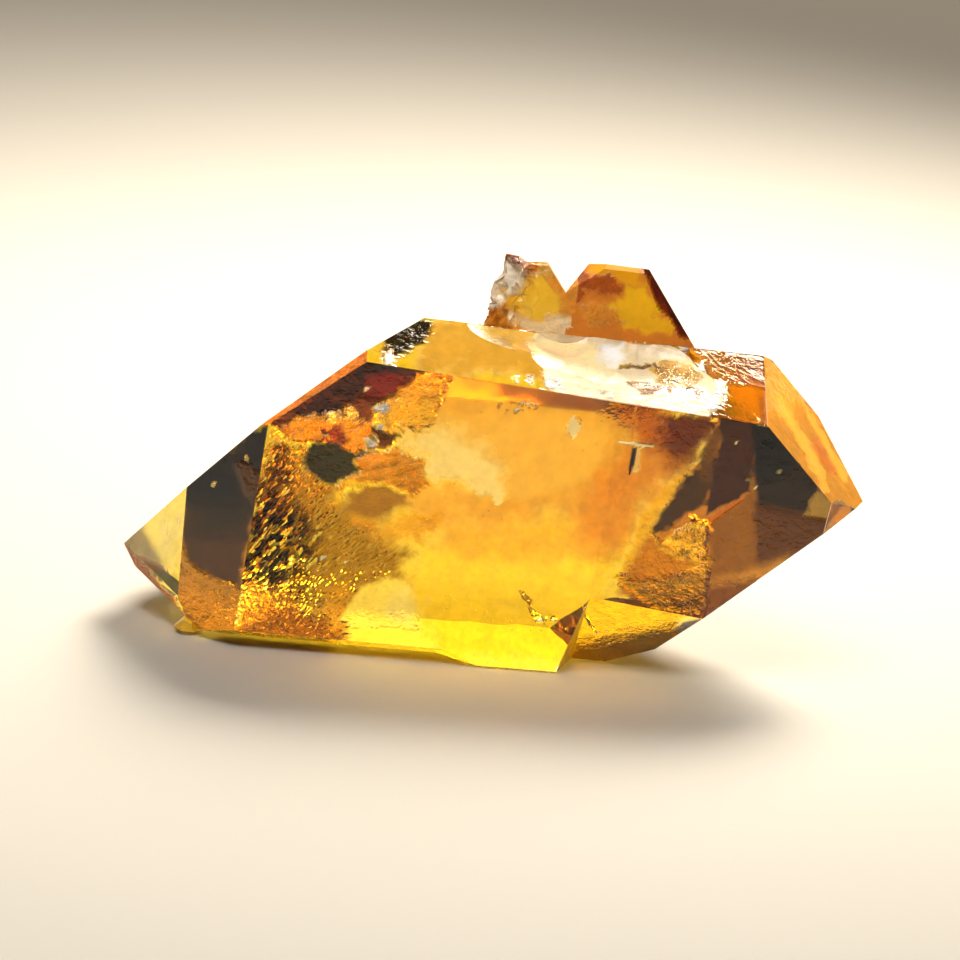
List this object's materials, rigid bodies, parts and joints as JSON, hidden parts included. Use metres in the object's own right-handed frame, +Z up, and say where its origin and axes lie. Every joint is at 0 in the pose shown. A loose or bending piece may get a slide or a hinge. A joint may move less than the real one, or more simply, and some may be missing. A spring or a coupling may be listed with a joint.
{
  "type": "citrine crystal",
  "caption": "Loose golden quartz crystal pointed at both ends, lying on a broken flat, with small side crystals and a shell-shaped break on its upper shoulder; for display",
  "frame": {"origin": "middle of the bounding box's bottom, on the surface that the crystal lies on", "axes": "+X along the crystal from the slender left tip to the right tip, +Y from the wide front face to the back, +Z up"},
  "size_m": [0.0603, 0.0202, 0.0329],
  "materials": {
    "citrine": "clear golden quartz with smoky brown ends, glossy growth faces and frosted white breaks"
  },
  "bodies": {
    "root": {"citrine_crystal": "citrine"}
  },
  "joints": []
}
